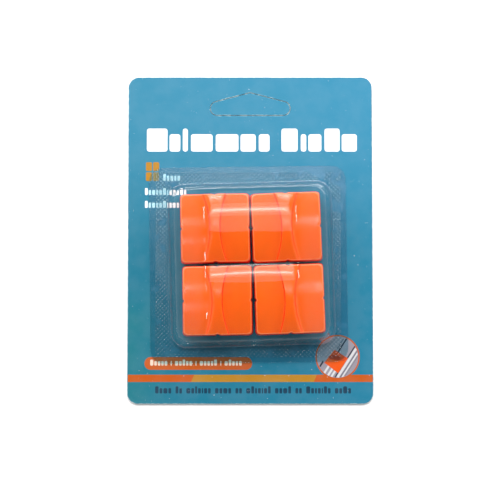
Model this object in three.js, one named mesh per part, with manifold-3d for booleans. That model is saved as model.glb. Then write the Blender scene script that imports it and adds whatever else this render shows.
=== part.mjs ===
// Carded blister pack with four paper-trimmer blade cartridges.
// The pack lies on its back: X is the card's width, Y runs up the card, Z comes out of the card's face.
// The origin is the centre of the card's back face. All sizes are in millimetres.

import * as THREE from 'three';
import { mergeVertices } from 'three/addons/utils/BufferGeometryUtils.js';
import Module from 'manifold-3d';

const wasm = await Module();
wasm.setup();

// ---- driving dimensions ------------------------------------------------------------------------

const gap = 0.3; // clearance kept between neighbouring pieces
const cut = 1; // how far a cutting tool runs past the face it cuts

const card = { width: 116, height: 155, thickness: 0.5, corner: 5 };

// Delta hang slot for a 38 mm peg hook; the knock-out piece is still in it.
const slot = { halfWidth: 19.2, bottomY: 59.1, endRadius: 3.5, roofSlopeDeg: 14.6 };

// The bubble sits a little off centre and off square on its flange, and has one arch over each row.
const blister = {
  wall: 0.4,
  flange: { centre: [-0.9, -11.9], skewDeg: 0.7, width: 93.4, height: 92.8, corner: 6.6 },
  bubble: { centre: [0.6, -11.7], skewDeg: 1.7 },
  step: { width: 78.0, height: 77.6, corner: 7.5, rise: 1.4 },
  foot: { width: 74.6, height: 74.4, corner: 6.5 },
  crown: { width: 71.8, height: 71.8 },
  topZ: 14.8,
  rowPitch: 33.6,
  archDrop: 0.8,
  shoulderX: 22,
  shoulderSlope: 0.38,
};

// Cartridges 1 to 4: upper left, upper right, lower left, lower right. They lie loosely in the bubble.
const cartridges = [
  { centre: [-16.45, 4.85], skewDeg: 1.2 },
  { centre: [16.95, 5.45], skewDeg: 2.2 },
  { centre: [-15.4, -29.0], skewDeg: 0.8 },
  { centre: [18.4, -28.3], skewDeg: 2.1 },
];
const stroke = 1.5;

const sole = { width: 32.8, corner: 1.8, thickness: 1.6, upstandWall: 1.1, upstandTopZ: 4.6 };
const bladeSlot = { width: 1.4, length: 14 };
const notch = { width: 1.6, depth: 0.6 };

const cap = {
  width: 32.4,
  corner: 1.8,
  wall: 1.3,
  roof: 1.4,
  crestZ: 13.2,
  archDrop: 2.2,
  ribStep: 1.6,
  wingSlope: 0.12,
  ribHalfWaist: 2.35,
  ribHalfEnd: 5.5,
};

const holder = { x: [-3.2, -0.5], halfLength: 6, z: [4.6, 9.0] };
const stud = { radius: 1.0, x: -1.6, y: 4, topZ: 10.0 };
const keeper = { x: [0.5, 1.8], halfLength: 5, z: [5.2, 8.6] };
const peg = { radius: 0.75, y: 3, z: 7.0, tipX: 1.8 };
const blade = { thickness: 0.4, halfLength: 5.2, topZ: 8.4, shoulderZ: 5.4 };
const spring = { y: 11, radius: 1.9, wire: 0.5, turns: 4, postRadius: 1.1, postTopZ: 4.2 };

// ---- derived heights ---------------------------------------------------------------------------

const rad = THREE.MathUtils.degToRad;
const cardTopZ = card.thickness;
const restZ = cardTopZ + gap; // underside of the soles and of the blister's flange
const soleTopZ = restZ + sole.thickness;
const skirtZ = soleTopZ + stroke + gap; // lower edge of a grip cap at rest
const bladeTipZ = restZ + stroke; // pressed, the tip comes level with the sole's underside

// ---- solids ------------------------------------------------------------------------------------

// Turn a closed three.js geometry into a solid.
function solid(geometry) {
  const bare = geometry.index ? geometry.toNonIndexed() : geometry.clone();
  bare.deleteAttribute('normal');
  bare.deleteAttribute('uv');
  const merged = mergeVertices(bare, 1e-4);
  const mesh = new wasm.Mesh({
    numProp: 3,
    vertProperties: new Float32Array(merged.attributes.position.array),
    triVerts: new Uint32Array(merged.index.array),
  });
  return new wasm.Manifold(mesh);
}

// Turn a solid back into a three.js geometry.
function geometryOf(body) {
  const mesh = body.getMesh();
  const geometry = new THREE.BufferGeometry();
  geometry.setAttribute('position', new THREE.BufferAttribute(mesh.vertProperties, 3));
  geometry.setIndex(new THREE.BufferAttribute(mesh.triVerts, 1));
  geometry.computeVertexNormals();
  return geometry;
}

function box(x0, x1, y0, y1, z0, z1) {
  const geometry = new THREE.BoxGeometry(x1 - x0, y1 - y0, z1 - z0);
  return solid(geometry.translate((x0 + x1) / 2, (y0 + y1) / 2, (z0 + z1) / 2));
}

// Upright round post or hole.
function post(radius, x, y, z0, z1, sides = 12) {
  const geometry = new THREE.CylinderGeometry(radius, radius, z1 - z0, sides);
  return solid(geometry.rotateX(Math.PI / 2).translate(x, y, (z0 + z1) / 2));
}

// Round pin or hole lying along X.
function crossPin(radius, x0, x1, y, z, sides = 10) {
  const geometry = new THREE.CylinderGeometry(radius, radius, x1 - x0, sides);
  return solid(geometry.rotateZ(Math.PI / 2).translate((x0 + x1) / 2, y, z));
}

// Outline drawn in XY and raised from z0 to z1.
function prism(shape, z0, z1, curveSegments = 5) {
  const settings = { depth: z1 - z0, bevelEnabled: false, curveSegments };
  return solid(new THREE.ExtrudeGeometry(shape, settings).translate(0, 0, z0));
}

function roundedRectangle(width, height, radius) {
  const x = width / 2;
  const y = height / 2;
  const shape = new THREE.Shape();
  shape.moveTo(-x + radius, -y);
  shape.lineTo(x - radius, -y);
  shape.absarc(x - radius, -y + radius, radius, -Math.PI / 2, 0, false);
  shape.lineTo(x, y - radius);
  shape.absarc(x - radius, y - radius, radius, 0, Math.PI / 2, false);
  shape.lineTo(-x + radius, y);
  shape.absarc(-x + radius, y - radius, radius, Math.PI / 2, Math.PI, false);
  shape.lineTo(-x, -y + radius);
  shape.absarc(-x + radius, -y + radius, radius, Math.PI, 1.5 * Math.PI, false);
  return shape;
}

// Block from baseZ up to the surface z = top(x, y).
function blockUnder(top, width, height, columns, rows, baseZ) {
  const geometry = new THREE.BoxGeometry(width, height, 1, columns, rows, 1);
  const points = geometry.attributes.position;
  for (let i = 0; i < points.count; i += 1) {
    const isTop = points.getZ(i) > 0;
    points.setZ(i, isTop ? top(points.getX(i), points.getY(i)) : baseZ);
  }
  return solid(geometry);
}

// ---- card and hang tab -------------------------------------------------------------------------

// Delta outline: flat bottom, round ends and a low pitched roof. inset shrinks it on every side.
function deltaOutline(inset) {
  const radius = slot.endRadius - inset;
  const endX = slot.halfWidth - slot.endRadius;
  const endY = slot.bottomY + slot.endRadius;
  const slope = rad(slot.roofSlopeDeg);
  const apexY = endY + radius / Math.cos(slope) + endX * Math.tan(slope);
  const shape = new THREE.Shape();
  shape.moveTo(-endX, endY - radius);
  shape.lineTo(endX, endY - radius);
  shape.absarc(endX, endY, radius, -Math.PI / 2, Math.PI / 2 - slope, false);
  shape.lineTo(0, apexY);
  shape.absarc(-endX, endY, radius, Math.PI / 2 + slope, 1.5 * Math.PI, false);
  return shape;
}

function backingCard() {
  const sheet = prism(roundedRectangle(card.width, card.height, card.corner), 0, cardTopZ, 6);
  return sheet.subtract(prism(deltaOutline(0), -cut, cardTopZ + cut, 8));
}

function hangTab() {
  return prism(deltaOutline(gap), 0, cardTopZ, 8);
}

// ---- blister -----------------------------------------------------------------------------------

// Outer surface of the bubble's roof: one shallow arch over each row and a shoulder at each side.
function roofZ(x, y) {
  const fromMiddle = Math.abs(y);
  const fromRow = Math.abs(fromMiddle - blister.rowPitch / 2);
  const share = fromRow / (blister.rowPitch / 2);
  const pastShoulder = Math.max(0, Math.abs(x) - blister.shoulderX);
  return blister.topZ - blister.archDrop * share ** 3 - blister.shoulderSlope * pastShoulder;
}

// Drafted bubble, standing at the origin; inset shrinks it for the inner surface.
function domedBlock(inset, baseZ) {
  const { foot, crown, topZ } = blister;
  const footShape = roundedRectangle(foot.width - 2 * inset, foot.height - 2 * inset, foot.corner - inset);
  const height = topZ + cut - baseZ;
  const settings = { depth: height, bevelEnabled: false, curveSegments: 6 };
  const walls = new THREE.ExtrudeGeometry(footShape, settings);
  const points = walls.attributes.position;
  const shrinkX = (crown.width - 2 * inset) / (foot.width - 2 * inset);
  const shrinkY = (crown.height - 2 * inset) / (foot.height - 2 * inset);
  for (let i = 0; i < points.count; i += 1) {
    if (points.getZ(i) > 0) {
      points.setX(i, points.getX(i) * shrinkX);
      points.setY(i, points.getY(i) * shrinkY);
    }
  }
  const roof = (x, y) => roofZ(x, y) - inset;
  const under = blockUnder(roof, foot.width + 2, foot.height + 2, 10, 20, baseZ - cut);
  return solid(walls.translate(0, 0, baseZ)).intersect(under);
}

function blisterShell() {
  const { flange, bubble, step, wall } = blister;
  const stepTopZ = restZ + step.rise;
  const stepOuter = prism(roundedRectangle(step.width, step.height, step.corner), restZ, stepTopZ);
  const stepInner = prism(
    roundedRectangle(step.width - 2 * wall, step.height - 2 * wall, step.corner - wall),
    restZ - cut,
    stepTopZ - wall,
  );
  const outer = stepOuter.add(domedBlock(0, restZ));
  const inner = stepInner.add(domedBlock(wall, restZ - cut));
  const turn = [0, 0, flange.skewDeg - bubble.skewDeg];
  const offset = new THREE.Vector2(flange.centre[0] - bubble.centre[0], flange.centre[1] - bubble.centre[1]);
  offset.rotateAround(new THREE.Vector2(), -rad(bubble.skewDeg));
  const shift = [offset.x, offset.y, 0];
  const sheet = prism(roundedRectangle(flange.width, flange.height, flange.corner), restZ, restZ + wall);
  return sheet.rotate(turn).translate(shift).add(outer).subtract(inner);
}

// ---- cartridge pieces, each about the cartridge's own centre -----------------------------------

// Small thumb notches half way along all four sides.
function sideNotches(halfWidth) {
  const inner = halfWidth - notch.depth;
  const outer = halfWidth + cut;
  const half = notch.width / 2;
  const top = cap.crestZ + cut;
  const alongX = box(inner, outer, -half, half, 0, top);
  const alongY = box(-half, half, inner, outer, 0, top);
  return alongX.add(alongY).add(alongX.rotate([0, 0, 180])).add(alongY.rotate([0, 0, 180]));
}

function solePlate() {
  const capInner = cap.width - 2 * cap.wall;
  const upstandOuter = capInner - 2 * gap;
  const upstandInner = upstandOuter - 2 * sole.upstandWall;
  const plate = prism(roundedRectangle(sole.width, sole.width, sole.corner), restZ, soleTopZ);
  const upstand = prism(roundedRectangle(upstandOuter, upstandOuter, 1), restZ, sole.upstandTopZ, 3);
  const well = prism(roundedRectangle(upstandInner, upstandInner, 0.6), soleTopZ, sole.upstandTopZ + cut, 3);
  const halfSlot = bladeSlot.length / 2;
  const cutter = box(-bladeSlot.width / 2, bladeSlot.width / 2, -halfSlot, halfSlot, 0, soleTopZ + cut);
  let body = plate.subtract(sideNotches(sole.width / 2)).add(upstand).subtract(well).subtract(cutter);
  for (const side of [-1, 1]) {
    body = body.add(post(spring.postRadius, 0, side * spring.y, soleTopZ - cut, spring.postTopZ));
  }
  return body;
}

// Waisted outline of the finger rib, concave on both long sides.
function ribOutline() {
  const half = cap.width / 2;
  const swell = cap.ribHalfEnd - cap.ribHalfWaist;
  const steps = 10;
  const side = [];
  for (let i = 0; i <= steps; i += 1) {
    const y = half * (2 * (i / steps) - 1);
    side.push([cap.ribHalfWaist + swell * (y / half) ** 2, y]);
  }
  const shape = new THREE.Shape();
  shape.moveTo(side[0][0], side[0][1]);
  side.slice(1).forEach(([x, y]) => shape.lineTo(x, y));
  side.reverse().forEach(([x, y]) => shape.lineTo(-x, y));
  return shape;
}

function crestZ(y) {
  return cap.crestZ - cap.archDrop * (y / (cap.width / 2)) ** 2;
}

function wingZ(x, y) {
  return crestZ(y) - cap.ribStep - cap.wingSlope * Math.abs(x);
}

function gripCap() {
  const half = cap.width / 2;
  const capInner = cap.width - 2 * cap.wall;
  const wide = cap.width + 2;
  const column = prism(roundedRectangle(cap.width, cap.width, cap.corner), skirtZ, cap.crestZ + cut);
  const wings = column.intersect(blockUnder(wingZ, wide, wide, 2, 12, 0));
  const crest = blockUnder((x, y) => crestZ(y), wide, wide, 1, 12, 0);
  const rib = column.intersect(crest).intersect(prism(ribOutline(), skirtZ, cap.crestZ + cut));
  const ceiling = (x, y) => wingZ(x, y) - cap.roof;
  const hollow = prism(roundedRectangle(capInner, capInner, 1), skirtZ - cut, cap.crestZ + cut, 3);
  const cavity = hollow.intersect(blockUnder(ceiling, wide, wide, 2, 12, 0));
  let body = wings.add(rib).subtract(cavity).subtract(sideNotches(half));
  for (const side of [-1, 1]) {
    const socket = post(stud.radius + gap, stud.x, side * stud.y, holder.z[0], stud.topZ + gap);
    body = body.subtract(socket);
  }
  return body;
}

function bladeHolder() {
  let body = box(holder.x[0], holder.x[1], -holder.halfLength, holder.halfLength, holder.z[0], holder.z[1]);
  for (const side of [-1, 1]) {
    body = body.add(post(stud.radius, stud.x, side * stud.y, holder.z[1] - cut, stud.topZ));
    body = body.add(crossPin(peg.radius, holder.x[1] - cut, peg.tipX, side * peg.y, peg.z));
  }
  return body;
}

function bladeKeeper() {
  let body = box(keeper.x[0], keeper.x[1], -keeper.halfLength, keeper.halfLength, keeper.z[0], keeper.z[1]);
  for (const side of [-1, 1]) {
    const hole = crossPin(peg.radius + gap, keeper.x[0] - cut, keeper.x[1] + cut, side * peg.y, peg.z);
    body = body.subtract(hole);
  }
  return body;
}

// Double-edged blade standing in the YZ plane, point down.
function bladePlate() {
  const outline = new THREE.Shape();
  outline.moveTo(0, bladeTipZ);
  outline.lineTo(blade.halfLength, blade.shoulderZ);
  outline.lineTo(blade.halfLength, blade.topZ);
  outline.lineTo(-blade.halfLength, blade.topZ);
  outline.lineTo(-blade.halfLength, blade.shoulderZ);
  const plate = new THREE.ExtrudeGeometry(outline, { depth: blade.thickness, bevelEnabled: false });
  plate.rotateX(Math.PI / 2).rotateZ(Math.PI / 2).translate(-blade.thickness / 2, 0, 0);
  let body = solid(plate);
  for (const side of [-1, 1]) {
    body = body.subtract(crossPin(peg.radius + gap, -cut, cut, side * peg.y, peg.z));
  }
  return body;
}

class Helix extends THREE.Curve {
  constructor(radius, turns, z0, z1) {
    super();
    Object.assign(this, { radius, turns, z0, z1 });
  }

  getPoint(t) {
    const angle = 2 * Math.PI * this.turns * t;
    const z = this.z0 + (this.z1 - this.z0) * t;
    return new THREE.Vector3(this.radius * Math.cos(angle), this.radius * Math.sin(angle), z);
  }
}

// Return spring between the sole and the roof of the cap.
function returnSpring(side) {
  const radius = spring.wire / 2;
  const seatZ = soleTopZ + gap + radius;
  const roofAtSpring = wingZ(spring.radius, spring.y + spring.radius) - cap.roof;
  const path = new Helix(spring.radius, spring.turns, seatZ, roofAtSpring - gap - radius);
  const section = new THREE.Shape();
  section.absarc(0, 0, radius, 0, 2 * Math.PI, false);
  const settings = { extrudePath: path, steps: spring.turns * 8, curveSegments: 3, bevelEnabled: false };
  const coil = new THREE.ExtrudeGeometry(section, settings);
  return solid(coil).translate([0, side * spring.y, 0]);
}

// ---- scene graph -------------------------------------------------------------------------------

function finish(colour, roughness, metalness) {
  return new THREE.MeshStandardMaterial({ color: colour, roughness, metalness });
}

const finishes = {
  card: finish(0x3f8fae, 0.65, 0),
  blister: Object.assign(finish(0xdfeef4, 0.08, 0), { transparent: true, opacity: 0.3 }),
  cap: finish(0xfc6322, 0.3, 0),
  sole: finish(0xf25c1e, 0.4, 0),
  carrier: finish(0xe8e6df, 0.5, 0),
  steel: finish(0xc4c8cc, 0.25, 1),
};

function named(name, body, material) {
  const mesh = new THREE.Mesh(geometryOf(body), material);
  mesh.name = name;
  return mesh;
}

const pack = new THREE.Group();
pack.add(named('backing_card', backingCard(), finishes.card));
pack.add(named('hang_tab', hangTab(), finishes.card));

const shell = named('blister', blisterShell(), finishes.blister);
shell.position.set(blister.bubble.centre[0], blister.bubble.centre[1], 0);
shell.rotation.z = rad(blister.bubble.skewDeg);
pack.add(shell);

function cartridgeGroup(number) {
  const group = new THREE.Group();
  group.add(named(`sole_plate_${number}`, solePlate(), finishes.sole));
  group.add(named(`grip_cap_${number}`, gripCap(), finishes.cap));
  group.add(named(`blade_holder_${number}`, bladeHolder(), finishes.carrier));
  group.add(named(`blade_keeper_${number}`, bladeKeeper(), finishes.carrier));
  group.add(named(`blade_${number}`, bladePlate(), finishes.steel));
  group.add(named(`spring_front_${number}`, returnSpring(-1), finishes.steel));
  group.add(named(`spring_rear_${number}`, returnSpring(1), finishes.steel));
  return group;
}

cartridges.forEach(({ centre, skewDeg }, index) => {
  const group = cartridgeGroup(index + 1);
  group.position.set(centre[0], centre[1], 0);
  group.rotation.z = rad(skewDeg);
  pack.add(group);
});

export default pack;
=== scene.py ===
import math

import bpy
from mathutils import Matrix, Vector
from mathutils.geometry import delaunay_2d_cdt


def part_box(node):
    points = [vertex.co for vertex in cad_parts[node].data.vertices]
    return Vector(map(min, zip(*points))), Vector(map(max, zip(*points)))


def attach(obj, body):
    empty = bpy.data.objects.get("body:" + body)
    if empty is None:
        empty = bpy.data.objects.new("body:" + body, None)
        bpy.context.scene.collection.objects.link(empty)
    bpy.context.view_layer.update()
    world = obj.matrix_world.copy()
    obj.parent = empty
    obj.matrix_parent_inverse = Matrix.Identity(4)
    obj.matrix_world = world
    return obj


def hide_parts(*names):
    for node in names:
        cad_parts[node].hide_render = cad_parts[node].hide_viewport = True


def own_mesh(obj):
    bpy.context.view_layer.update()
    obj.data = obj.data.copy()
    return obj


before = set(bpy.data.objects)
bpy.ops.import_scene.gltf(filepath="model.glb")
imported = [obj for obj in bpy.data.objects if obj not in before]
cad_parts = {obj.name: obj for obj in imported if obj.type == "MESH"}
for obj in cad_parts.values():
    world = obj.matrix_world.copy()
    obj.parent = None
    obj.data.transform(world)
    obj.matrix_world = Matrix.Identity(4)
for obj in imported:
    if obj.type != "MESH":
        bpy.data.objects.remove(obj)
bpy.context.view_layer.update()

# A carded blister pack with four paper-trimmer blade cartridges, lying on its back.
# Sizes below are in millimetres unless the name says otherwise; MM turns them into metres.

MM = 0.001
NUMBERS = (1, 2, 3, 4)  # upper left, upper right, lower left, lower right

# ---- sizes --------------------------------------------------------------------------------------

CARD_CORNER = 5.0
CARD_RIM = 0.22  # width of the rubbed line round the print
SLOT_HALF_WIDTH = 19.2
SLOT_BOTTOM_Y = 59.1
SLOT_END_RADIUS = 3.5
SLOT_ROOF_SLOPE = math.radians(14.6)
SLOT_RIM = 0.25
TAB_GAP = 0.28
TAB_RIM = 0.2

FLANGE = (93.4, 92.8, 6.6)  # width, height, corner radius
FLANGE_SKEW = math.radians(0.7)
BUBBLE_CENTRE = (0.6, -11.7)
BUBBLE_SKEW = math.radians(1.7)
STEP = (78.0, 77.6, 7.5)
FOOT = (74.6, 74.4, 6.5)
CROWN = (72.2, 72.2, 6.2)
SHEET = 0.4
SEAL_GAP = 0.05
STEP_RISE = 1.4
STEP_FALL = 0.22  # the top of the step falls this much outwards
STEP_FILLET = 0.15
FILLET_ANGLES = [math.radians(degrees) for degrees in (0, 30, 60, 90)]
CROWN_FILLET = 0.95
ROW_PITCH = 33.6
ARCH_DROP = 0.8  # from the middle of a row to half a pitch away
VALLEY_SOFTNESS = 1.0
SHOULDER_X = 22.0  # the roof slopes down beyond this
SHOULDER_SLOPE = 0.38
SHOULDER_SOFTNESS = 2.6
SLACK = 0.22  # lift of the roof towards its sides, over the upper half of the lower row
SLACK_RISES = (-19.0, -8.0)  # along Y
SLACK_FALLS = (-6.0, 5.0)
KNURL_PITCH = 1.4  # between the bands
PLAIN_RIM = (43.6, 44.2)  # from the flange's centre; the knurl fades out between them
CREASE = (8.7, 9.2, 9.8)  # a low ridge across the flange: its foot, crest and foot along Y

CARTRIDGE_SKEW = {1: 1.2, 2: 2.2, 3: 0.8, 4: 2.1}  # degrees
CAP_HALF = 16.25
CAP_CORNER = 1.8
CAP_EDGE = 0.65  # radius of the rounded edge
CAP_DRAFT = 0.5  # the walls lean out this far from under the rounded edge to the skirt
CAP_TOP_HALF = CAP_HALF - CAP_EDGE - CAP_DRAFT / 2
CAP_WALL = 1.3
CAP_ROOF = 1.4
SKIRT_CHAMFER = 0.15
CAP_ARCH = 2.6  # fall of the rib from its middle to its ends
WING_ARCH = 1.9
WING_SLOPE = 0.12
RIB_STEP = 1.5  # height of the rib over the wings at the middle
RIB_CROWN = 0.12
RIB_WAIST = 2.35  # half width of the rib at its middle and at its ends
RIB_END = 5.5
RIB_SIDE_STEEP = 0.3  # half width of the blend from rib to wing, on the right and on the left
RIB_SIDE_SOFT = 0.8
NOTCH_FADE = (0.6, 0.95)  # from the middle of a side; the notch runs out between them
NOTCH_DEPTH = 0.6

SPRING_TURNS = 4
SPRING_RADIUS = 1.9
SPRING_WIRE = 0.25


# ---- small helpers ------------------------------------------------------------------------------

def mm_box(node):
    """A node's lowest and highest corner, in millimetres."""
    low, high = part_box(node)
    return low / MM, high / MM


def smooth(edge0, edge1, value):
    """0 below edge0, 1 above edge1, and a smooth step between them."""
    share = min(1.0, max(0.0, (value - edge0) / (edge1 - edge0)))
    return share * share * (3 - 2 * share)


def soft_plus(value, width):
    """max(0, value) with its corner rounded over about width."""
    return 0.5 * (value + math.sqrt(value * value + width * width))


def rounded_rectangle(half_x, half_y, radius, arc_steps, side_steps=1, centre=(0.0, 0.0)):
    """Points of a rounded rectangle, anticlockwise from the right end of its lower side."""
    corners = ((1, -1, -0.5), (1, 1, 0.0), (-1, 1, 0.5), (-1, -1, 1.0))
    points = []
    for index, (sign_x, sign_y, start) in enumerate(corners):
        centre_x = sign_x * (half_x - radius)
        centre_y = sign_y * (half_y - radius)
        for step in range(arc_steps + 1):
            angle = math.pi * (start + 0.5 * step / arc_steps)
            points.append((centre_x + radius * math.cos(angle), centre_y + radius * math.sin(angle)))
        next_x, next_y, next_start = corners[(index + 1) % 4]
        end_angle = math.pi * next_start
        end = (next_x * (half_x - radius) + radius * math.cos(end_angle),
               next_y * (half_y - radius) + radius * math.sin(end_angle))
        start_point = points[-1]
        for step in range(1, side_steps):
            share = step / side_steps
            points.append((start_point[0] + (end[0] - start_point[0]) * share,
                           start_point[1] + (end[1] - start_point[1]) * share))
    return [(x + centre[0], y + centre[1]) for x, y in points]


def add_piece(name, vertices, faces, body, materials, indices=None, flat=False):
    """A mesh piece from vertices in millimetres, riding on body."""
    mesh = bpy.data.meshes.new(name)
    mesh.from_pydata([Vector(v) * MM for v in vertices], [], faces)
    for item in materials:
        mesh.materials.append(item)
    if indices:
        mesh.polygons.foreach_set("material_index", indices)
    mesh.polygons.foreach_set("use_smooth", [not flat] * len(mesh.polygons))
    mesh.update()
    piece = bpy.data.objects.new(name, mesh)
    bpy.context.scene.collection.objects.link(piece)
    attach(piece, body)
    return piece


def bridge(lower, upper):
    """Quads between two closed rings of vertex numbers of the same length."""
    count = len(lower)
    return [(lower[i], lower[(i + 1) % count], upper[(i + 1) % count], upper[i]) for i in range(count)]


def grid_faces(rows, columns, start=0, downward=False):
    """Quads over rows of vertex numbers that begin at start."""
    faces = []
    for row in range(rows - 1):
        for column in range(columns - 1):
            a = start + row * columns + column
            b, c, d = a + 1, a + 1 + columns, a + columns
            faces.append((a, d, c, b) if downward else (a, b, c, d))
    return faces


def placed(points, centre, angle):
    """Points turned by angle about Z and moved to centre; heights, where there are any, stay."""
    cos, sin = math.cos(angle), math.sin(angle)
    return [(centre[0] + x * cos - y * sin, centre[1] + x * sin + y * cos, *height)
            for x, y, *height in points]


# ---- materials ----------------------------------------------------------------------------------

WAVE_SCALE = 0.314  # gives a wave texture one band in each unit
COLOUR_A, COLOUR_B, COLOUR_OUT = 6, 7, 2  # the colour sockets of a mix node


class Shader:
    """A new node material with a few short ways to add nodes."""

    def __init__(self, name):
        self.material = bpy.data.materials.new(name)
        self.material.use_nodes = True
        self.nodes = self.material.node_tree.nodes
        self.links = self.material.node_tree.links
        self.bsdf = self.nodes["Principled BSDF"]
        self.output = self.nodes["Material Output"]
        coordinates = self.nodes.new("ShaderNodeTexCoord")
        self.place = coordinates.outputs["Object"]

    def set(self, **values):
        for key, value in values.items():
            self.bsdf.inputs[key.replace("_", " ")].default_value = value

    def link(self, source, target):
        self.links.new(source, target)

    def feed(self, name, source):
        """Links source to the Principled shader's socket of that name."""
        self.link(source, self.bsdf.inputs[name])

    def noise(self, size_mm, detail=3.0, stretch=(1, 1, 1), roughness=0.55, offset=(0, 0, 0)):
        """Noise value with features of about size_mm."""
        mapping = self.nodes.new("ShaderNodeMapping")
        mapping.inputs["Scale"].default_value = [s / (size_mm * MM) for s in stretch]
        mapping.inputs["Location"].default_value = offset
        self.link(self.place, mapping.inputs["Vector"])
        texture = self.nodes.new("ShaderNodeTexNoise")
        texture.inputs["Scale"].default_value = 1.0
        texture.inputs["Detail"].default_value = detail
        texture.inputs["Roughness"].default_value = roughness
        self.link(mapping.outputs["Vector"], texture.inputs["Vector"])
        return texture.outputs["Fac"]

    def wave(self, size_mm, angle=0.0, distortion=0.0):
        """Parallel bands size_mm apart, turned by angle about Z."""
        mapping = self.nodes.new("ShaderNodeMapping")
        mapping.inputs["Rotation"].default_value = (0, 0, angle)
        mapping.inputs["Scale"].default_value = [1 / (size_mm * MM)] * 3
        self.link(self.place, mapping.inputs["Vector"])
        texture = self.nodes.new("ShaderNodeTexWave")
        texture.inputs["Scale"].default_value = WAVE_SCALE
        texture.inputs["Distortion"].default_value = distortion
        texture.inputs["Detail"].default_value = 1.0
        self.link(mapping.outputs["Vector"], texture.inputs["Vector"])
        return texture.outputs["Fac"]

    def axis(self, letter):
        """The object's own X, Y or Z, in metres."""
        split = self.nodes.new("ShaderNodeSeparateXYZ")
        self.link(self.place, split.inputs["Vector"])
        return split.outputs[letter]

    def spread(self, value, low, high, to_low=0.0, to_high=1.0, kind="SMOOTHSTEP"):
        """value mapped from low..high to to_low..to_high."""
        node = self.nodes.new("ShaderNodeMapRange")
        node.interpolation_type = kind
        self.link(value, node.inputs["Value"])
        sockets = ("From Min", "From Max", "To Min", "To Max")
        for socket, number in zip(sockets, (low, high, to_low, to_high)):
            node.inputs[socket].default_value = number
        return node.outputs["Result"]

    def math(self, operation, first, second):
        node = self.nodes.new("ShaderNodeMath")
        node.operation = operation
        for socket, value in zip(node.inputs, (first, second)):
            if isinstance(value, (int, float)):
                socket.default_value = value
            else:
                self.link(value, socket)
        return node.outputs["Value"]

    def times(self, first, second):
        return self.math("MULTIPLY", first, second)

    def plus(self, first, second):
        return self.math("ADD", first, second)

    def mix(self, factor, first, second):
        """Colour between first and second; each is a colour or a socket."""
        node = self.nodes.new("ShaderNodeMix")
        node.data_type = "RGBA"
        self.link(factor, node.inputs["Factor"])
        for socket, value in ((node.inputs[COLOUR_A], first), (node.inputs[COLOUR_B], second)):
            if isinstance(value, tuple):
                socket.default_value = (*value, 1.0)
            else:
                self.link(value, socket)
        return node.outputs[COLOUR_OUT]

    def bump(self, height, depth_mm, strength=1.0):
        node = self.nodes.new("ShaderNodeBump")
        node.inputs["Strength"].default_value = strength
        node.inputs["Distance"].default_value = depth_mm * MM
        self.link(height, node.inputs["Height"])
        return node.outputs["Normal"]


def srgb(red, green, blue):
    """An sRGB colour, 0 to 255, as linear values."""
    def linear(value):
        share = value / 255
        return share / 12.92 if share <= 0.04045 else ((share + 0.055) / 1.055) ** 2.4
    return (linear(red), linear(green), linear(blue))


WHITE_INK = srgb(246, 247, 247)
ORANGE_INK = srgb(187, 84, 20)
YELLOW_INK = srgb(176, 124, 34)
PALE_INK = srgb(226, 204, 184)
NAVY_INK = srgb(14, 56, 80)
BOARD_EDGE = srgb(190, 200, 200)


def print_finish(shader, colour):
    """Satin varnish over ink on board: faint fibre mottling, scuffs, and a soft sheen."""
    fibre = shader.noise(0.35, detail=4)
    cloud = shader.noise(9.0, detail=3)
    speck = shader.spread(shader.noise(0.9, detail=2, offset=(3, 7, 1)), 0.75, 0.77)
    mottled = shader.mix(shader.spread(cloud, 0.3, 0.7, 0.0, 0.02), colour, srgb(225, 236, 240))
    dusty = shader.mix(shader.times(speck, 0.55), mottled, srgb(232, 238, 240))
    shader.feed("Base Color", dusty)
    shader.feed("Roughness", shader.spread(cloud, 0.3, 0.7, 0.42, 0.52))
    ripple = shader.plus(shader.times(fibre, 0.25), shader.noise(4.0, detail=2))
    shader.feed("Normal", shader.bump(ripple, 0.05, 0.5))
    shader.set(Specular_IOR_Level=0.15)
    return shader.material


def ink(name, colour):
    """A plain printed ink with a slight change of strength across the sheet."""
    shader = Shader(name)
    weaker = tuple(c * 0.94 + 0.008 for c in colour)
    return print_finish(shader, shader.mix(shader.noise(3.0), colour, weaker))


def teal_print():
    """The card's teal: lighter at the head and to the right, greener at the lower left."""
    shader = Shader("teal_print")
    half = CARD_HIGH.y * MM
    wide = CARD_HIGH.x * MM
    across, along = shader.axis("X"), shader.axis("Y")
    up = shader.spread(along, -half, half, kind="LINEAR")
    colour = shader.mix(shader.spread(up, 0.36, 0.86), srgb(31, 110, 133), srgb(55, 127, 155))
    green = shader.times(shader.spread(across, -wide, -0.5 * wide, 0.5, 0.0),
                         shader.spread(along, -0.5 * half, -0.2 * half, 1.0, 0.0))
    colour = shader.mix(shader.times(green, shader.noise(22.0, detail=2)), colour, srgb(40, 120, 112))
    side = shader.spread(across, -wide, wide, 0.0, 0.16, kind="LINEAR")
    return print_finish(shader, shader.mix(side, colour, srgb(52, 148, 196)))


def worn_edge():
    """The rim of the sheet, where the ink is rubbed back to the board."""
    shader = Shader("worn_edge")
    rub = shader.spread(shader.noise(1.6, detail=4), 0.45, 0.62)
    return print_finish(shader, shader.mix(rub, srgb(52, 122, 148), srgb(150, 182, 190)))


def bare_board(name, light, dark):
    """Uncoated grey-white board with short fibres."""
    shader = Shader(name)
    fibre = shader.noise(0.5, detail=5, stretch=(1, 0.3, 1))
    shader.feed("Base Color", shader.mix(shader.spread(fibre, 0.35, 0.7), dark, light))
    shader.feed("Normal", shader.bump(fibre, 0.04, 0.6))
    shader.set(Roughness=0.85, Specular_IOR_Level=0.2)
    return shader.material


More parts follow.
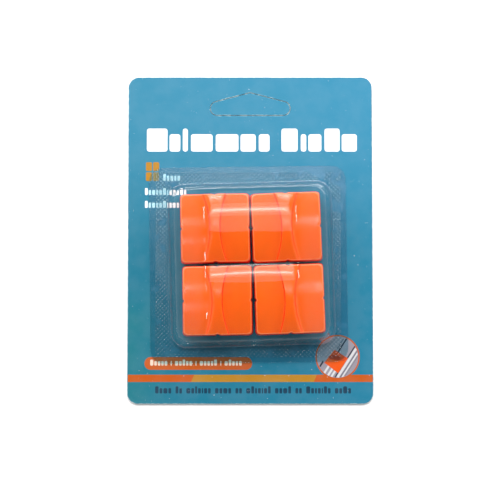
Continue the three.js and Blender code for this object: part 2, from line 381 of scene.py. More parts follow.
def see_through(shader, haze, tint, roughness, normal):
    """Clear sheet: light passes, with gloss that grows at a glancing angle, and a share of milky haze."""
    facing = shader.nodes.new("ShaderNodeLayerWeight")
    facing.inputs["Blend"].default_value = 0.5
    grazing = shader.math("POWER", facing.outputs["Facing"], 5.0)
    reflectance = shader.plus(shader.times(grazing, 0.95), 0.045)
    clear = shader.nodes.new("ShaderNodeBsdfTransparent")
    shader.link(tint, clear.inputs["Color"])
    gloss = shader.nodes.new("ShaderNodeBsdfGlossy")
    gloss.inputs["Color"].default_value = (1, 1, 1, 1)
    gloss.inputs["Roughness"].default_value = roughness
    milk = shader.nodes.new("ShaderNodeBsdfDiffuse")
    milk.inputs["Color"].default_value = (0.52, 0.84, 0.95, 1)
    shader.link(normal, gloss.inputs["Normal"])
    shader.link(normal, facing.inputs["Normal"])
    cloudy = shader.nodes.new("ShaderNodeMixShader")
    shader.link(haze, cloudy.inputs["Fac"])
    shader.link(clear.outputs["BSDF"], cloudy.inputs[1])
    shader.link(milk.outputs["BSDF"], cloudy.inputs[2])
    sheet = shader.nodes.new("ShaderNodeMixShader")
    shader.link(reflectance, sheet.inputs["Fac"])
    shader.link(cloudy.outputs["Shader"], sheet.inputs[1])
    shader.link(gloss.outputs["BSDF"], sheet.inputs[2])
    shader.nodes.remove(shader.bsdf)
    shader.link(sheet.outputs["Shader"], shader.output.inputs["Surface"])
    return shader.material


def clear_plastic():
    """The bubble: clear, with long soft draw lines from forming."""
    shader = Shader("clear_pet")
    haze = shader.spread(shader.noise(14, detail=2), 0.35, 0.75, 0.0, 0.0015)
    draw = shader.noise(26, detail=1)
    tint = shader.mix(draw, (0.98, 0.99, 0.992), (0.99, 0.994, 0.995))
    return see_through(shader, haze, tint, 0.022, shader.bump(draw, 0.25, 0.1))


def sealed_plastic():
    """The flange: pressed on with a diamond-knurled plate, bonded in some places and loose in others. The
    bonded knurl's milky haze is painted stronger towards the card's head as a painted sheen.
    """
    shader = Shader("heat_sealed_pet")
    first = shader.wave(KNURL_PITCH, math.radians(45))
    second = shader.wave(KNURL_PITCH, math.radians(-45))
    knurl = shader.times(first, second)
    across, along = shader.axis("X"), shader.axis("Y")
    from_x = shader.math("ABSOLUTE", shader.math("SUBTRACT", across, FLANGE_CENTRE[0] * MM), 0.0)
    from_y = shader.math("ABSOLUTE", shader.math("SUBTRACT", along, FLANGE_CENTRE[1] * MM), 0.0)
    reach = shader.math("MAXIMUM", from_x, from_y)
    rim = shader.spread(reach, PLAIN_RIM[0] * MM, PLAIN_RIM[1] * MM)
    corner = shader.times(shader.spread(across, 20 * MM, 42 * MM), shader.spread(along, 0.0, 24 * MM))
    patch = shader.plus(shader.noise(6.0, detail=6, roughness=0.6), shader.times(corner, 0.07))
    bond_ends, loose_starts, fade = 0.555, 0.575, 0.007
    loose = shader.spread(patch, loose_starts, loose_starts + fade)
    bonded = shader.times(knurl, shader.spread(patch, bond_ends, bond_ends + fade, 1.0, 0.0))
    bonded = shader.times(bonded, shader.math("SUBTRACT", 1.0, rim))
    # painted sheen: the bonded haze grows from 0.02 at the card's foot to 0.24 at its head, standing in for
    # the key light's glints on the knurl
    strength = shader.spread(along, -58 * MM, 34 * MM, 0.02, 0.24)
    haze = shader.plus(shader.times(bonded, strength), shader.times(loose, 0.02))
    tint = shader.mix(shader.math("POWER", bonded, 0.6), (0.71, 0.85, 0.89), (0.96, 1.0, 1.0))
    tint = shader.mix(rim, tint, (0.83, 0.94, 0.965))
    tint = shader.mix(loose, tint, (0.84, 0.95, 0.985))
    foot, crest_line, far_foot = (y * MM for y in CREASE)
    crease = shader.times(shader.spread(along, foot, crest_line),
                          shader.spread(along, crest_line, far_foot, 1.0, 0.0))
    relief = shader.plus(bonded, shader.noise(7.0, detail=2))
    relief = shader.plus(relief, shader.times(crease, 1.3))
    return see_through(shader, haze, tint, 0.2, shader.bump(relief, 0.07, 1.0))


def orange_plastic(name, colour, roughness):
    """Glossy moulded plastic with faint flow marks and fine rubs; faces that stand up are painted a darker,
    deeper orange as painted shade, and their gloss is weaker.
    """
    shader = Shader(name)
    flow = shader.noise(11.0, detail=2, stretch=(1, 0.5, 1))
    deeper = tuple(c * 0.93 for c in colour)
    even = shader.mix(shader.spread(flow, 0.3, 0.7), deeper, colour)
    geometry = shader.nodes.new("ShaderNodeNewGeometry")
    split = shader.nodes.new("ShaderNodeSeparateXYZ")
    shader.link(geometry.outputs["Normal"], split.inputs["Vector"])
    # painted shade: the more a face stands up, the darker and deeper its orange, and (below) the weaker its
    # gloss
    painted_side_shade = shader.spread(split.outputs["Z"], 0.3, 0.85, 1.0, 0.0)
    painted_side_shade_colour = (colour[0], colour[1] * 0.4, colour[2] * 0.2)
    shader.feed("Base Color", shader.mix(painted_side_shade, even, painted_side_shade_colour))
    rub = shader.noise(2.2, detail=5)
    gloss = shader.spread(rub, 0.3, 0.75, roughness - 0.04, roughness + 0.06)
    shader.feed("Roughness", gloss)
    surface = shader.plus(shader.noise(0.6, detail=2), shader.times(flow, 6.0))
    shader.feed("Normal", shader.bump(surface, 0.008, 0.3))
    shader.bsdf.inputs["Subsurface Radius"].default_value = (1.0, 0.15, 0.04)
    shader.feed("Specular IOR Level", shader.spread(split.outputs["Z"], 0.3, 0.85, 0.1, 0.75))
    shader.set(Subsurface_Weight=0.2, Subsurface_Scale=0.002)
    return shader.material


def pale_plastic():
    """Natural white acetal."""
    shader = Shader("acetal")
    cloud = shader.noise(2.5, detail=3)
    shader.feed("Base Color", shader.mix(cloud, srgb(222, 219, 208), srgb(236, 234, 226)))
    shader.feed("Roughness", shader.spread(cloud, 0.3, 0.7, 0.42, 0.55))
    shader.feed("Normal", shader.bump(shader.noise(0.2, detail=3), 0.01, 0.4))
    return shader.material


def steel(name, tint, roughness, stretch):
    """Ground or drawn steel with fine lines along one direction."""
    shader = Shader(name)
    lines = shader.noise(0.12, detail=4, stretch=stretch)
    darker = tuple(c * 0.7 for c in tint)
    shader.feed("Base Color", shader.mix(shader.spread(lines, 0.3, 0.7), darker, tint))
    shader.feed("Roughness", shader.spread(lines, 0.3, 0.7, roughness, roughness + 0.14))
    shader.feed("Normal", shader.bump(lines, 0.004, 0.5))
    shader.set(Metallic=1.0)
    return shader.material


# ---- card and hang tab --------------------------------------------------------------------------

CARD_LOW, CARD_HIGH = mm_box("backing_card")


def delta_outline(inset):
    """The hang slot: flat bottom, round ends and a low pitched roof; inset shrinks it all round."""
    radius = SLOT_END_RADIUS - inset
    end_x = SLOT_HALF_WIDTH - SLOT_END_RADIUS
    end_y = SLOT_BOTTOM_Y + SLOT_END_RADIUS
    steps = 14
    points = []
    for side, start, finish in ((1, -0.5 * math.pi, 0.5 * math.pi - SLOT_ROOF_SLOPE),
                                (-1, 0.5 * math.pi + SLOT_ROOF_SLOPE, 1.5 * math.pi)):
        for step in range(steps + 1):
            angle = start + (finish - start) * step / steps
            points.append((side * end_x + radius * math.cos(angle), end_y + radius * math.sin(angle)))
        if side > 0:
            peak = end_y + radius / math.cos(SLOT_ROOF_SLOPE) + end_x * math.tan(SLOT_ROOF_SLOPE)
            points.append((0.0, peak))
    return points


def block(left, right, bottom, top, radius=0.35, steps=2):
    """A small block with rounded corners, anticlockwise."""
    half_x, half_y = (right - left) / 2, (top - bottom) / 2
    radius = min(radius, 0.45 * min(right - left, top - bottom))
    centre = ((left + right) / 2, (bottom + top) / 2)
    return rounded_rectangle(half_x, half_y, radius, steps, centre=centre)


def block_row(left, right, base, height, widths, gap, space, tall=0.34, every=5):
    """Stand-in for a line of print: blocks of the given widths, repeated until the line is full.

    A width of None is a space, and each block whose place in the widths divides by every is taller.
    """
    blocks = []
    x = left
    number = 0
    while True:
        width = widths[number % len(widths)]
        if width is None:
            x += space
        else:
            if x + width > right + 0.01:
                break
            rise = tall * height if number % every == 0 else 0.0
            blocks.append(block(x, x + width, base, base + height + rise, radius=0.3 * width))
            x += width + gap
        number += 1
    return blocks


HEADING_WIDTHS = (9.8, 5.1, 2.4, 10.3, 10.8, 7.2, 5.1, None, 7.7, 2.6, 6.2, 7.2, 7.2)
HEADING_GAPS = (1.0, 1.2, 1.5, 1.5, 1.0, 1.5, 5.7, None, 1.5, 1.0, 1.5, 1.0, 0.0)
HEADING_TALL = (0, 2, 8, 11)
SMALL_WIDTHS = (1.3, 1.1, 1.4, 1.0, 1.2, 1.5, 0.6, 1.2)


def heading():
    """One row of bold white blocks across the head of the card, some of them taller."""
    left, base, x_height, rise = -49.2, 41.9, 8.3, 2.7
    shapes = []
    x = left
    for number, (width, gap) in enumerate(zip(HEADING_WIDTHS, HEADING_GAPS)):
        if width is None:
            continue
        top = base + x_height + (rise if number in HEADING_TALL else 0.0)
        shapes.append(block(x, x + width, base, top, radius=1.1, steps=4))
        x += width + gap
    return shapes


def artwork():
    """Printed regions as (outline, ink name); a later one lies over an earlier one."""
    shapes = []
    half_x, high_y = CARD_HIGH.x, CARD_HIGH.y
    sheet = rounded_rectangle(half_x, high_y, CARD_CORNER, 12)
    rim = rounded_rectangle(half_x - CARD_RIM, high_y - CARD_RIM, CARD_CORNER - CARD_RIM, 12)
    shapes.append((sheet, "edge"))
    shapes.append((rim, "teal"))
    shapes.append((delta_outline(-SLOT_RIM), "edge"))
    shapes += [(shape, "white") for shape in heading()]

    for column in (0, 1):
        for row in (0, 1):
            x = -49.6 + 3.4 * column
            y = 27.8 + 4.8 * row
            shapes.append((block(x, x + 2.9, y, y + 4.2, radius=0.6, steps=3), "yellow"))
    shapes += [(s, "white") for s in block_row(-41.4, -32.0, 27.9, 2.5, SMALL_WIDTHS, 0.5, 1.6)]
    shapes += [(s, "white") for s in block_row(-50.0, -29.2, 21.1, 2.5, SMALL_WIDTHS, 0.5, 1.6)]
    shapes += [(s, "white") for s in block_row(-50.0, -33.4, 15.0, 2.5, SMALL_WIDTHS, 0.5, 1.6)]

    pill = rounded_rectangle(25.4, 3.0, 2.95, 8, centre=(-24.5, -58.6))
    shapes.append((pill, "orange"))
    pill_words = (1.5, 1.2, 1.2, 1.1, 1.3, None, 0.5, None)
    shapes += [(s, "pale") for s in block_row(-47.2, -2.6, -59.6, 2.1, pill_words, 0.45, 1.1)]

    stripe_low, stripe_high = -67.3, -63.9
    lean = 0.7
    joints = (CARD_LOW.x + CARD_RIM, -27.2, 30.7, CARD_HIGH.x - CARD_RIM)
    for number, colour in enumerate(("orange", "yellow", "orange")):
        left, right = joints[number], joints[number + 1]
        lean_left = 0.0 if number == 0 else lean
        lean_right = 0.0 if number == 2 else lean
        shapes.append(([(left - lean_left, stripe_low), (right - lean_right, stripe_low),
                        (right + lean_right, stripe_high), (left + lean_left, stripe_high)], colour))
    caption_words = (1.6, 1.3, 1.9, 1.3, None, 1.3, 1.2, None, 1.9, 1.3, 0.9, 1.3, 0.6, 1.4, 1.2, None)
    shapes += [(s, "navy") for s in block_row(-44.8, 47.8, -72.7, 2.5, caption_words, 0.48, 1.6)]
    shapes += inset_picture()
    shapes.append((delta_outline(0.0), "hole"))
    return shapes


def disc(centre, radius, steps=56):
    """Points round a circle, anticlockwise."""
    return [(centre[0] + radius * math.cos(2 * math.pi * i / steps),
             centre[1] + radius * math.sin(2 * math.pi * i / steps)) for i in range(steps)]


def inside_disc(points, centre, radius):
    """points pulled back to the disc where they leave it."""
    result = []
    for x, y in points:
        dx, dy = x - centre[0], y - centre[1]
        reach = math.hypot(dx, dy)
        share = min(1.0, radius / reach) if reach else 1.0
        result.append((centre[0] + dx * share, centre[1] + dy * share))
    return result


def inset_picture():
    """Round inset: an orange cartridge on the pale rails of a cutter, drawn in flat shapes."""
    centre = (41.2, -55.6)
    inner = 9.8
    shapes = [(disc(centre, 10.45), "orange"), (disc(centre, inner), "bed")]
    along = math.radians(57)

    def strip(offset, half_width, colour, start, finish):
        outline = [(start, -offset - half_width), (finish, -offset - half_width),
                   (finish, -offset + half_width), (start, -offset + half_width)]
        shapes.append((inside_disc(placed(outline, centre, along), centre, inner - 0.1), colour))

    strip(-1.1, 0.35, "slot", 2.0, 9.7)
    strip(-2.3, 0.3, "slot_soft", 3.2, 8.8)
    for offset, half_width, colour in ((4.2, 0.35, "slot"), (5.3, 0.7, "rail"), (6.3, 0.25, "slot_soft"),
                                       (7.1, 0.5, "rail"), (7.9, 0.2, "slot_soft")):
        reach = math.sqrt(inner ** 2 - offset ** 2)
        strip(offset, half_width, colour, -reach, reach)
    for offset in (-1.2, 0.9, 2.6):
        strip(offset, 0.5, "rail", -math.sqrt(inner ** 2 - offset ** 2), -5.0)
    strip(-4.6, 0.4, "slot", -8.4, -5.2)

    top, right, bottom, left = (-1.4, 3.4), (4.9, -0.6), (0.2, -7.6), (-6.3, -2.6)
    ridge_left, ridge_right = (-4.2, -1.2), (2.9, -1.9)

    def facet(corners, colour):
        shapes.append(([(centre[0] + x, centre[1] + y) for x, y in corners], colour))

    facet((left, bottom, right, top), "cartridge")
    facet((ridge_left, ridge_right, right, top), "cartridge_rib")
    facet(((-4.6, 0.2), (-3.5, -0.9), (0.8, -1.5), (1.6, 0.2), (-1.6, 1.1)), "cartridge_top")
    return shapes


def sheet_mesh(shapes, thickness, inks, edge_ink, back_ink, hole_ink="hole"):
    """A closed sheet whose face is cut along every printed outline. Returns vertices, faces, ink numbers."""
    points, loops = [], []
    for outline, _ in shapes:
        start = len(points)
        points += [Vector(p) for p in outline]
        loops.append(list(range(start, len(points))))
    flat, _, triangles, _, _, origins = delaunay_2d_cdt(points, [], loops, 1, 1e-5)
    kept = []
    for triangle, origin in zip(triangles, origins):
        colour = shapes[max(origin)][1] if origin else hole_ink
        if colour != hole_ink:
            kept.append((tuple(triangle), colour))
    order = {name: number for number, name in enumerate(inks)}
    count = len(flat)
    vertices = [(p.x, p.y, thickness) for p in flat] + [(p.x, p.y, 0.0) for p in flat]
    faces, numbers, used = [], [], {}
    for triangle, colour in kept:
        faces.append(triangle)
        numbers.append(order[colour])
        faces.append(tuple(i + count for i in reversed(triangle)))
        numbers.append(order[back_ink])
        for a, b in zip(triangle, triangle[1:] + triangle[:1]):
            used[(a, b)] = True
    for a, b in used:
        if (b, a) not in used:
            faces.append((b, a, a + count, b + count))
            numbers.append(order[edge_ink])
    return drop_unused(vertices, faces) + (numbers,)


def drop_unused(vertices, faces):
    """Vertices that a face uses, and the faces numbered to match."""
    used = sorted({i for face in faces for i in face})
    renumber = {old: new for new, old in enumerate(used)}
    return [vertices[i] for i in used], [tuple(renumber[i] for i in face) for face in faces]


def make_card():
    """The printed card and the knock-out piece in its hang slot."""
    inks = {
        "teal": teal_print(), "edge": worn_edge(), "white": ink("white_ink", WHITE_INK),
        "yellow": ink("yellow_ink", YELLOW_INK), "orange": ink("orange_ink", ORANGE_INK),
        "pale": ink("pale_ink", PALE_INK), "navy": ink("navy_ink", NAVY_INK),
        "bed": ink("bed_ink", srgb(146, 140, 150)), "slot": ink("slot_ink", srgb(40, 44, 58)),
        "slot_soft": ink("slot_soft_ink", srgb(96, 98, 110)), "rail": ink("rail_ink", srgb(206, 206, 208)),
        "cartridge": ink("cartridge_ink", srgb(226, 84, 12)),
        "cartridge_top": ink("cartridge_top_ink", srgb(160, 48, 14)),
        "cartridge_rib": ink("cartridge_rib_ink", srgb(206, 68, 16)),
        "cut": bare_board("board_edge", BOARD_EDGE, srgb(168, 182, 184)),
        "back": bare_board("board_back", srgb(224, 222, 216), srgb(196, 194, 188)),
    }
    thickness = CARD_HIGH.z
    vertices, faces, numbers = sheet_mesh(artwork(), thickness, inks, "cut", "back")
    card = add_piece("printed_card", vertices, faces, "card",
                     inks.values(), numbers, flat=True)
    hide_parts("backing_card")
    tab_shapes = [(delta_outline(TAB_GAP), "edge"), (delta_outline(TAB_GAP + TAB_RIM), "teal")]
    tab_inks = {key: inks[key] for key in ("teal", "edge", "cut", "back")}
    vertices, faces, numbers = sheet_mesh(tab_shapes, thickness, tab_inks, "cut", "back")
    tab = add_piece("knock_out_tab", vertices, faces, "tab",
                    tab_inks.values(), numbers, flat=True)
    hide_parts("hang_tab")


# ---- blister ------------------------------------------------------------------------------------

BLISTER_LOW, BLISTER_HIGH = mm_box("blister")
FLANGE_CENTRE = ((BLISTER_LOW.x + BLISTER_HIGH.x) / 2, (BLISTER_LOW.y + BLISTER_HIGH.y) / 2)
FLANGE_BANDS = 5  # bands of faces between the flange's edge and the step


def roof_height(x, y):
    """Outer roof of the bubble: an arch over each row, a soft valley between, a shoulder at each side."""
    half_pitch = ROW_PITCH / 2
    from_row = abs(math.hypot(y, VALLEY_SOFTNESS) - half_pitch)
    slack = SLACK * min(1.0, abs(x) / SHOULDER_X) ** 2
    slack *= smooth(*SLACK_RISES, y) * (1 - smooth(*SLACK_FALLS, y))
    shoulder = SHOULDER_SLOPE * soft_plus(abs(x) - SHOULDER_X, SHOULDER_SOFTNESS)
    return BLISTER_HIGH.z - ARCH_DROP * (from_row / half_pitch) ** 3 - shoulder + slack


def blister_rings():
    """Rings of the outer surface about the bubble's centre, from the flange's edge in to the roof's rim."""
    arc, side = 10, 16
    bottom = CARD_HIGH.z + SEAL_GAP
    flange_top = bottom + SHEET
    step_top = bottom + STEP_RISE
    rings = []

    def outline(size, inset):
        half_x, half_y, radius = size[0] / 2 - inset, size[1] / 2 - inset, max(size[2] - inset, 0.4)
        return rounded_rectangle(half_x, half_y, radius, arc, side)

    def ring(size, height, inset=0.0):
        rings.append([(x, y, height(x, y)) for x, y in outline(size, inset)])

    def level(z):
        return lambda x, y: z

    def fillet_up(size, floor):
        """From a flat up into a wall."""
        for angle in FILLET_ANGLES:
            rise = STEP_FILLET * (1 - math.cos(angle))
            ring(size, level(floor + rise), -STEP_FILLET * (1 - math.sin(angle)))

    def fillet_over(size, top):
        """From a wall over onto a flat."""
        for angle in FILLET_ANGLES:
            drop = STEP_FILLET * (1 - math.sin(angle))
            ring(size, level(top - drop), STEP_FILLET * (1 - math.cos(angle)))

    offset = [flange - bubble for flange, bubble in zip(FLANGE_CENTRE, BUBBLE_CENTRE)]
    away = placed([offset], (0.0, 0.0), -BUBBLE_SKEW)[0]
    for inset in (0.0, 0.12):
        edge = placed(outline(FLANGE, inset), away, FLANGE_SKEW - BUBBLE_SKEW)
        rings.append([(x, y, flange_top) for x, y in edge])
    foot = outline(STEP, -STEP_FILLET)
    for share in (0.25, 0.5, 0.75):
        rings.append([(x0 + (x1 - x0) * share, y0 + (y1 - y0) * share, flange_top)
                      for (x0, y0), (x1, y1) in zip(edge, foot)])
    fillet_up(STEP, flange_top)
    fillet_over(STEP, step_top - STEP_FALL)
    fillet_up(FOOT, step_top)

    wall_low = step_top + STEP_FILLET
    for share in (0.02, 0.2, 0.4, 0.6, 0.8, 0.97, 1.0):
        size = [a + (b - a) * share for a, b in zip(FOOT, CROWN)]
        ring(size, lambda x, y, s=share: wall_low + (roof_height(x, y) - CROWN_FILLET - wall_low) * s)
    crown_steps = 8
    for step in range(1, crown_steps + 1):
        angle = 0.5 * math.pi * step / crown_steps
        inset = CROWN_FILLET * (1 - math.cos(angle))
        lift = CROWN_FILLET * (math.sin(angle) - 1)
        ring(CROWN, lambda x, y, z=lift: roof_height(x, y) + z, inset=inset)
    return rings


def roof_grid(rings):
    """Closes the last ring with smaller rings that follow the roof. Returns extra vertices and faces."""
    last = rings[-1]
    count = len(last)
    vertices, faces = [], []
    insets = 34
    base = (len(rings) - 1) * count
    previous = list(range(base, base + count))
    total = len(rings) * count
    for number in range(1, insets):
        share = 1 - number / insets
        start = total + len(vertices)
        vertices += [(x * share, y * share, roof_height(x * share, y * share)) for x, y, _ in last]
        current = list(range(start, start + count))
        faces += bridge(previous, current)
        previous = current
    middle = total + len(vertices)
    vertices.append((0.0, 0.0, roof_height(0.0, 0.0)))
    faces += [(previous[i], previous[(i + 1) % count], middle) for i in range(count)]
    return vertices, faces


def make_blister():
    """The clear shell: its outer surface, thickened inwards to a sheet."""
    rings = blister_rings()
    count = len(rings[0])
    outer = [point for ring in rings for point in ring]
    faces, numbers = [], []
    for number in range(len(rings) - 1):
        lower = list(range(number * count, (number + 1) * count))
        upper = list(range((number + 1) * count, (number + 2) * count))
        faces += bridge(lower, upper)
        numbers += [1 if number < FLANGE_BANDS else 0] * count
    extra, extra_faces = roof_grid(rings)
    outer += extra
    faces += extra_faces
    numbers += [0] * len(extra_faces)
    outer = placed(outer, BUBBLE_CENTRE, BUBBLE_SKEW)
    piece = add_piece("clear_bubble", outer, faces, "blister",
                      (clear_plastic(), sealed_plastic()), numbers)
    shell = piece.modifiers.new("sheet", "SOLIDIFY")
    shell.thickness = SHEET * MM
    shell.offset = -1.0
    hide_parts("blister")


# ---- cartridges ---------------------------------------------------------------------------------

CAP_LOW, CAP_HIGH = mm_box("grip_cap_1")


def rib_half(y):
    """Half width of the rib, least at its middle."""
    return RIB_WAIST + (RIB_END - RIB_WAIST) * (y / CAP_HALF) ** 2


def crest(y):
    """Height of the rib's crest, an arch along Y."""
    return CAP_HIGH.z - CAP_ARCH * (y / CAP_HALF) ** 2


def wing(x, y):
    """Height of the wings, which arch along Y and slope down away from the rib."""
    return CAP_HIGH.z - RIB_STEP - WING_ARCH * (y / CAP_HALF) ** 2 - WING_SLOPE * abs(x)


def cap_surface(x, y):
    """Top of the cap: a waisted rib between two sloping wings, its right side steeper than its left."""
    half = rib_half(y)
    across = abs(x)
    spread = RIB_SIDE_STEEP if x > 0 else RIB_SIDE_SOFT
    on_rib = 1 - smooth(half - spread, half + spread, across)
    rib = crest(y) - RIB_CROWN * min(1.0, across / half) ** 2
    return wing(x, y) + (rib - wing(x, y)) * on_rib


def notch(along):
    """Share of the notch's depth at a distance from the middle of a side."""
    return 1 - smooth(*NOTCH_FADE, abs(along))


def cap_outline_x(y):
    """Half width of the cap at y, with round corners."""
    straight = CAP_HALF - CAP_CORNER
    past = max(0.0, abs(y) - straight)
    return straight + math.sqrt(max(0.0, CAP_CORNER ** 2 - past ** 2))


def cap_columns(y, limit):
    """Places along X at which the top is sampled, closest where the rib's sides stand."""
    half = min(rib_half(y), limit - 2.0)
    side_start, side_end = half - 0.35, half + 0.6
    right = [0.0]
    for start, finish, steps in ((0.0, side_start, 4), (side_start, side_end, 8), (side_end, limit, 12)):
        right += [start + (finish - start) * (i + 1) / steps for i in range(steps)]
    return [-x for x in reversed(right[1:])] + right


def cap_grid(shrink, surface):
    """Rows of points over the top, closer together towards the ends; shrink pulls the rim in."""
    rows = 44
    scale = (CAP_HALF - shrink) / CAP_HALF
    grid = []
    for row in range(rows + 1):
        even = 2 * row / rows - 1
        crowded = -math.cos(math.pi * row / rows)
        y = CAP_HALF * (0.55 * even + 0.45 * crowded)
        limit = max(cap_outline_x(y), CAP_HALF - CAP_CORNER)
        line = []
        for x in cap_columns(y, limit):
            edge_x = abs(x) / limit
            edge_y = abs(y) / CAP_HALF
            pull_x = NOTCH_DEPTH * notch(y) * smooth(0.8, 1.0, edge_x)
            pull_y = NOTCH_DEPTH * notch(x) * smooth(0.8, 1.0, edge_y)
            px = math.copysign(abs(x) - pull_x, x) * scale
            py = math.copysign(abs(y) - pull_y, y) * scale
            line.append((px, py, surface(px, py)))
        grid.append(line)
    return grid


def rim_numbers(rows, columns, start):
    """Vertex numbers round the rim of a grid, anticlockwise."""
    def at(row, column):
        return start + row * columns + column
    lower = [at(0, c) for c in range(columns)]
    right = [at(r, columns - 1) for r in range(1, rows)]
    upper = [at(rows - 1, c) for c in range(columns - 2, -1, -1)]
    left = [at(r, 0) for r in range(rows - 2, 0, -1)]
    return lower + right + upper + left


def cap_mesh():
    """Closed shell of a grip cap about its own centre, with 1 for each face of its rounded edge, which
    carries a painted highlight.
    """
    skirt = CAP_LOW.z
    top = cap_grid(CAP_HALF - CAP_TOP_HALF, cap_surface)
    rows, columns = len(top), len(top[0])
    vertices = [point for line in top for point in line]
    faces = grid_faces(rows, columns)
    top_faces = len(faces)
    rim = rim_numbers(rows, columns, 0)
    rim_points = [vertices[i] for i in rim]

    def add_ring(grow, height):
        """The rim's outline again, grow further out, with heights worked out from the rim's own."""
        start = len(vertices)
        scale = (CAP_TOP_HALF + grow) / CAP_TOP_HALF
        vertices.extend((x * scale, y * scale, height(z)) for x, y, z in rim_points)
        return list(range(start, len(vertices)))

    previous = rim
    steps = 5
    for step in range(1, steps + 1):
        angle = 0.5 * math.pi * step / steps
        drop = CAP_EDGE * (1 - math.cos(angle))
        current = add_ring(CAP_EDGE * math.sin(angle), lambda z, d=drop: z - d)
        faces += bridge(current, previous)
        previous = current
    edge_faces = len(faces) - top_faces
    low = skirt + SKIRT_CHAMFER
    for share in (0.33, 0.66, 1.0):
        grow = CAP_EDGE + CAP_DRAFT * share
        current = add_ring(grow, lambda z, s=share: (z - CAP_EDGE) * (1 - s) + low * s)
        faces += bridge(current, previous)
        previous = current
    outer, inner = CAP_EDGE + CAP_DRAFT, CAP_EDGE + CAP_DRAFT / 2 - CAP_WALL
    for grow, z in ((outer - SKIRT_CHAMFER, skirt), (inner + SKIRT_CHAMFER, skirt), (inner, low)):
        current = add_ring(grow, lambda _, level=z: level)
        faces += bridge(current, previous)
        previous = current

    ceiling = cap_grid(CAP_WALL, lambda x, y: wing(x, y) - CAP_ROOF)
    start = len(vertices)
    vertices += [point for line in ceiling for point in line]
    faces += grid_faces(rows, columns, start, downward=True)
    faces += bridge(rim_numbers(rows, columns, start), previous)
    numbers = [0] * top_faces + [1] * edge_faces
    numbers += [0] * (len(faces) - len(numbers))
    return vertices, faces, numbers


def spring_mesh(low, high):
    """Compression spring about the origin, its end coils closed up, as a closed tube."""
    steps, sides = SPRING_TURNS * 20, 10
    vertices, faces = [], []
    for step in range(steps + 1):
        share = step / steps
        angle = 2 * math.pi * SPRING_TURNS * share
        rise = smooth(-0.06, 1.06, share) * 0.5 + share * 0.5
        z = low + SPRING_WIRE + (high - low - 2 * SPRING_WIRE) * rise
        for side in range(sides):
            turn = 2 * math.pi * side / sides
            reach = SPRING_RADIUS + SPRING_WIRE * math.cos(turn)
            height = z + SPRING_WIRE * math.sin(turn)
            vertices.append((reach * math.cos(angle), reach * math.sin(angle), height))
    for step in range(steps):
        ring = list(range(step * sides, (step + 1) * sides))
        faces += bridge([i + sides for i in ring], ring)
    faces.append(tuple(range(sides)))
    faces.append(tuple(steps * sides + i for i in reversed(range(sides))))
    return vertices, faces


def make_spring(number, end, skew, look):
    """One coil under a cap, built in the CAD spring's box."""
    low, high = mm_box(f"spring_{end}_{number}")
    middle = ((low.x + high.x) / 2, (low.y + high.y) / 2)
    vertices, faces = spring_mesh(low.z, high.z)
    spring = add_piece(f"coil_{end}_{number}", placed(vertices, middle, skew), faces,
                       "card", (look,))
    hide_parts(f"spring_{end}_{number}")
    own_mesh(spring)


def make_cartridges():
    """Four cartridges; the caps on the right are turned half round."""
    cap_look = orange_plastic("orange_cap", srgb(255, 102, 17), 0.14)
    # painted highlight: the caps' rounded edges get a lighter, paler orange than their tops, which draws a
    # light outline round each cap
    painted_edge_highlight_look = orange_plastic("orange_cap_edge_painted_highlight", srgb(255, 122, 54), 0.3)
    sole_look = orange_plastic("orange_sole", srgb(248, 104, 44), 0.34)
    carrier_look = pale_plastic()
    blade_look = steel("blade_steel", (0.62, 0.63, 0.64), 0.2, (1, 1, 0.06))
    spring_look = steel("spring_wire", (0.5, 0.5, 0.51), 0.25, (0.3, 0.3, 1))
    cap_vertices, cap_faces, cap_numbers = cap_mesh()
    for number in NUMBERS:
        low, high = mm_box(f"sole_plate_{number}")
        centre = ((low.x + high.x) / 2, (low.y + high.y) / 2)
        skew = math.radians(CARTRIDGE_SKEW[number])
        turn = skew + (math.pi if centre[0] > 0 else 0)
        cap = add_piece(f"waisted_cap_{number}", placed(cap_vertices, centre, turn), cap_faces,
                        f"cap_{number}", (cap_look, painted_edge_highlight_look), cap_numbers)
        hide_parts(f"grip_cap_{number}")
        for node, look, width in (("sole_plate", sole_look, 0.2), ("blade_holder", carrier_look, 0.15),
                                  ("blade_keeper", carrier_look, 0.12), ("blade", blade_look, 0.03)):
            finish_node(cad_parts[f"{node}_{number}"], look, width)
        for end in ("front", "rear"):
            make_spring(number, end, skew, spring_look)


def finish_node(node, look, width):
    """Gives a CAD node its material and slightly rounded edges."""
    node.data.materials.clear()
    node.data.materials.append(look)
    bevel = node.modifiers.new("edges", "BEVEL")
    bevel.width = width * MM
    bevel.segments = 3
    bevel.limit_method = "ANGLE"
    bevel.angle_limit = math.radians(35)
    bevel.harden_normals = True


# ---- floor, light and camera, in metres ---------------------------------------------------------

def make_floor():
    """A pale floor just under the card."""
    half = 2.5
    level = -0.0003
    mesh = bpy.data.meshes.new("floor")
    corners = [(-half, -half), (half, -half), (half, half), (-half, half)]
    mesh.from_pydata([(x, y, level) for x, y in corners], [], [(0, 1, 2, 3)])
    shader = Shader("pale_floor")
    cloud = shader.noise(240, detail=2)
    shader.feed("Base Color", shader.mix(cloud, (0.93, 0.93, 0.93), (0.96, 0.96, 0.96)))
    shader.set(Roughness=0.9, Specular_IOR_Level=0.1)
    mesh.materials.append(shader.material)
    floor = bpy.data.objects.new("floor", mesh)
    bpy.context.scene.collection.objects.link(floor)


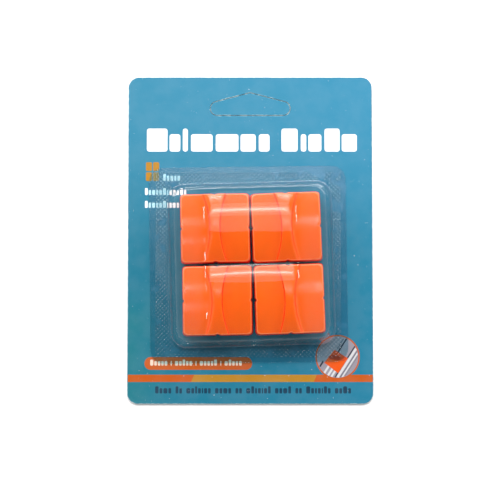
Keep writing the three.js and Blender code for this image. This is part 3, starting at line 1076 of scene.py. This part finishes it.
def area_light(name, target, tilt_deg, distance, width, height, radiance, sideways_deg=0.0):
    """Rectangular lamp facing target; tilt leans it from overhead towards +Y, sideways towards +X."""
    data = bpy.data.lights.new(name, "AREA")
    data.shape = "RECTANGLE"
    data.size = width
    data.size_y = height
    data.energy = radiance * math.pi * width * height
    lamp = bpy.data.objects.new(name, data)
    tilt, side = math.radians(tilt_deg), math.radians(sideways_deg)
    direction = Vector((math.sin(side), math.cos(side) * math.sin(tilt), math.cos(side) * math.cos(tilt)))
    lamp.location = Vector(target) + distance * direction
    lamp.rotation_euler = direction.to_track_quat("Z", "Y").to_euler()
    lamp.visible_camera = False
    bpy.context.scene.collection.objects.link(lamp)


def make_light():
    """Bright low surroundings and a dim ceiling; keys and softboxes lean towards the card's head.

    Small spots at the two sides, and one on the foot's side, put short highlights on the bubble's rim.
    """
    world = bpy.data.worlds.new("studio")
    world.use_nodes = True
    nodes, links = world.node_tree.nodes, world.node_tree.links
    coordinates = nodes.new("ShaderNodeTexCoord")
    split = nodes.new("ShaderNodeSeparateXYZ")
    links.new(coordinates.outputs["Generated"], split.inputs["Vector"])
    ramp = nodes.new("ShaderNodeValToRGB")
    links.new(split.outputs["Z"], ramp.inputs["Fac"])
    stops = ((0.0, 0.92), (0.45, 0.75), (0.7, 0.4), (0.9, 0.10), (1.0, 0.03))
    while len(ramp.color_ramp.elements) < len(stops):
        ramp.color_ramp.elements.new(0.5)
    for element, (position, level) in zip(ramp.color_ramp.elements, stops):
        element.position = position
        element.color = (level, level, level, 1)
    links.new(ramp.outputs["Color"], nodes["Background"].inputs["Color"])
    bpy.context.scene.world = world
    area_light("key", (0, 0, 0), 47, 1.1, 1.1, 0.46, 9.3)
    area_light("left_key", (0, 0, 0), 55, 1.1, 0.62, 0.30, 8.0, -44)
    area_light("right_key", (0, 0, 0), 55, 1.1, 0.62, 0.30, 8.0, 44)
    target = (0, 0.02, 0)
    area_light("softbox", target, 12.0, 1.0, 0.32, 0.34, 0.7)
    area_light("softbox_middle", target, 8.6, 0.99, 0.28, 0.11, 0.7)
    strips = (("strip_outer", 0.26, 0.05, 1.0), ("strip_middle", 0.23, 0.028, 1.6),
              ("strip_core", 0.20, 0.013, 2.4))
    for name, width, height, radiance in strips:
        area_light(name, target, 8.0, 0.98 - 0.1 * height, width, height, radiance)
    for name, side in (("left", -1), ("right", 1)):
        area_light(f"{name}_spot", target, 7.6, 1.0, 0.11, 0.022, 16.0, 20 * side)
    area_light("front_spot", (0, 0, 0), -6.7, 1.0, 0.06, 0.03, 16.0, -20)


def make_camera():
    """Straight over the card, a little below its middle, so the card's foot is slightly nearer."""
    data = bpy.data.cameras.new("camera")
    distance = 0.55
    view_width = 0.2335
    data.sensor_width = 36
    data.lens = 36 * distance / view_width
    camera = bpy.data.objects.new("camera", data)
    tilt = math.radians(2.9)
    aim = Vector((-0.0020, -0.0031, 0.0))
    direction = Vector((0, -math.sin(tilt), math.cos(tilt)))
    camera.location = aim + distance * direction
    camera.rotation_euler = direction.to_track_quat("Z", "Y").to_euler()
    bpy.context.scene.collection.objects.link(camera)
    bpy.context.scene.camera = camera


make_camera()
make_card()
make_blister()
make_cartridges()
make_floor()
make_light()
bpy.context.scene.view_settings.view_transform = "Standard"
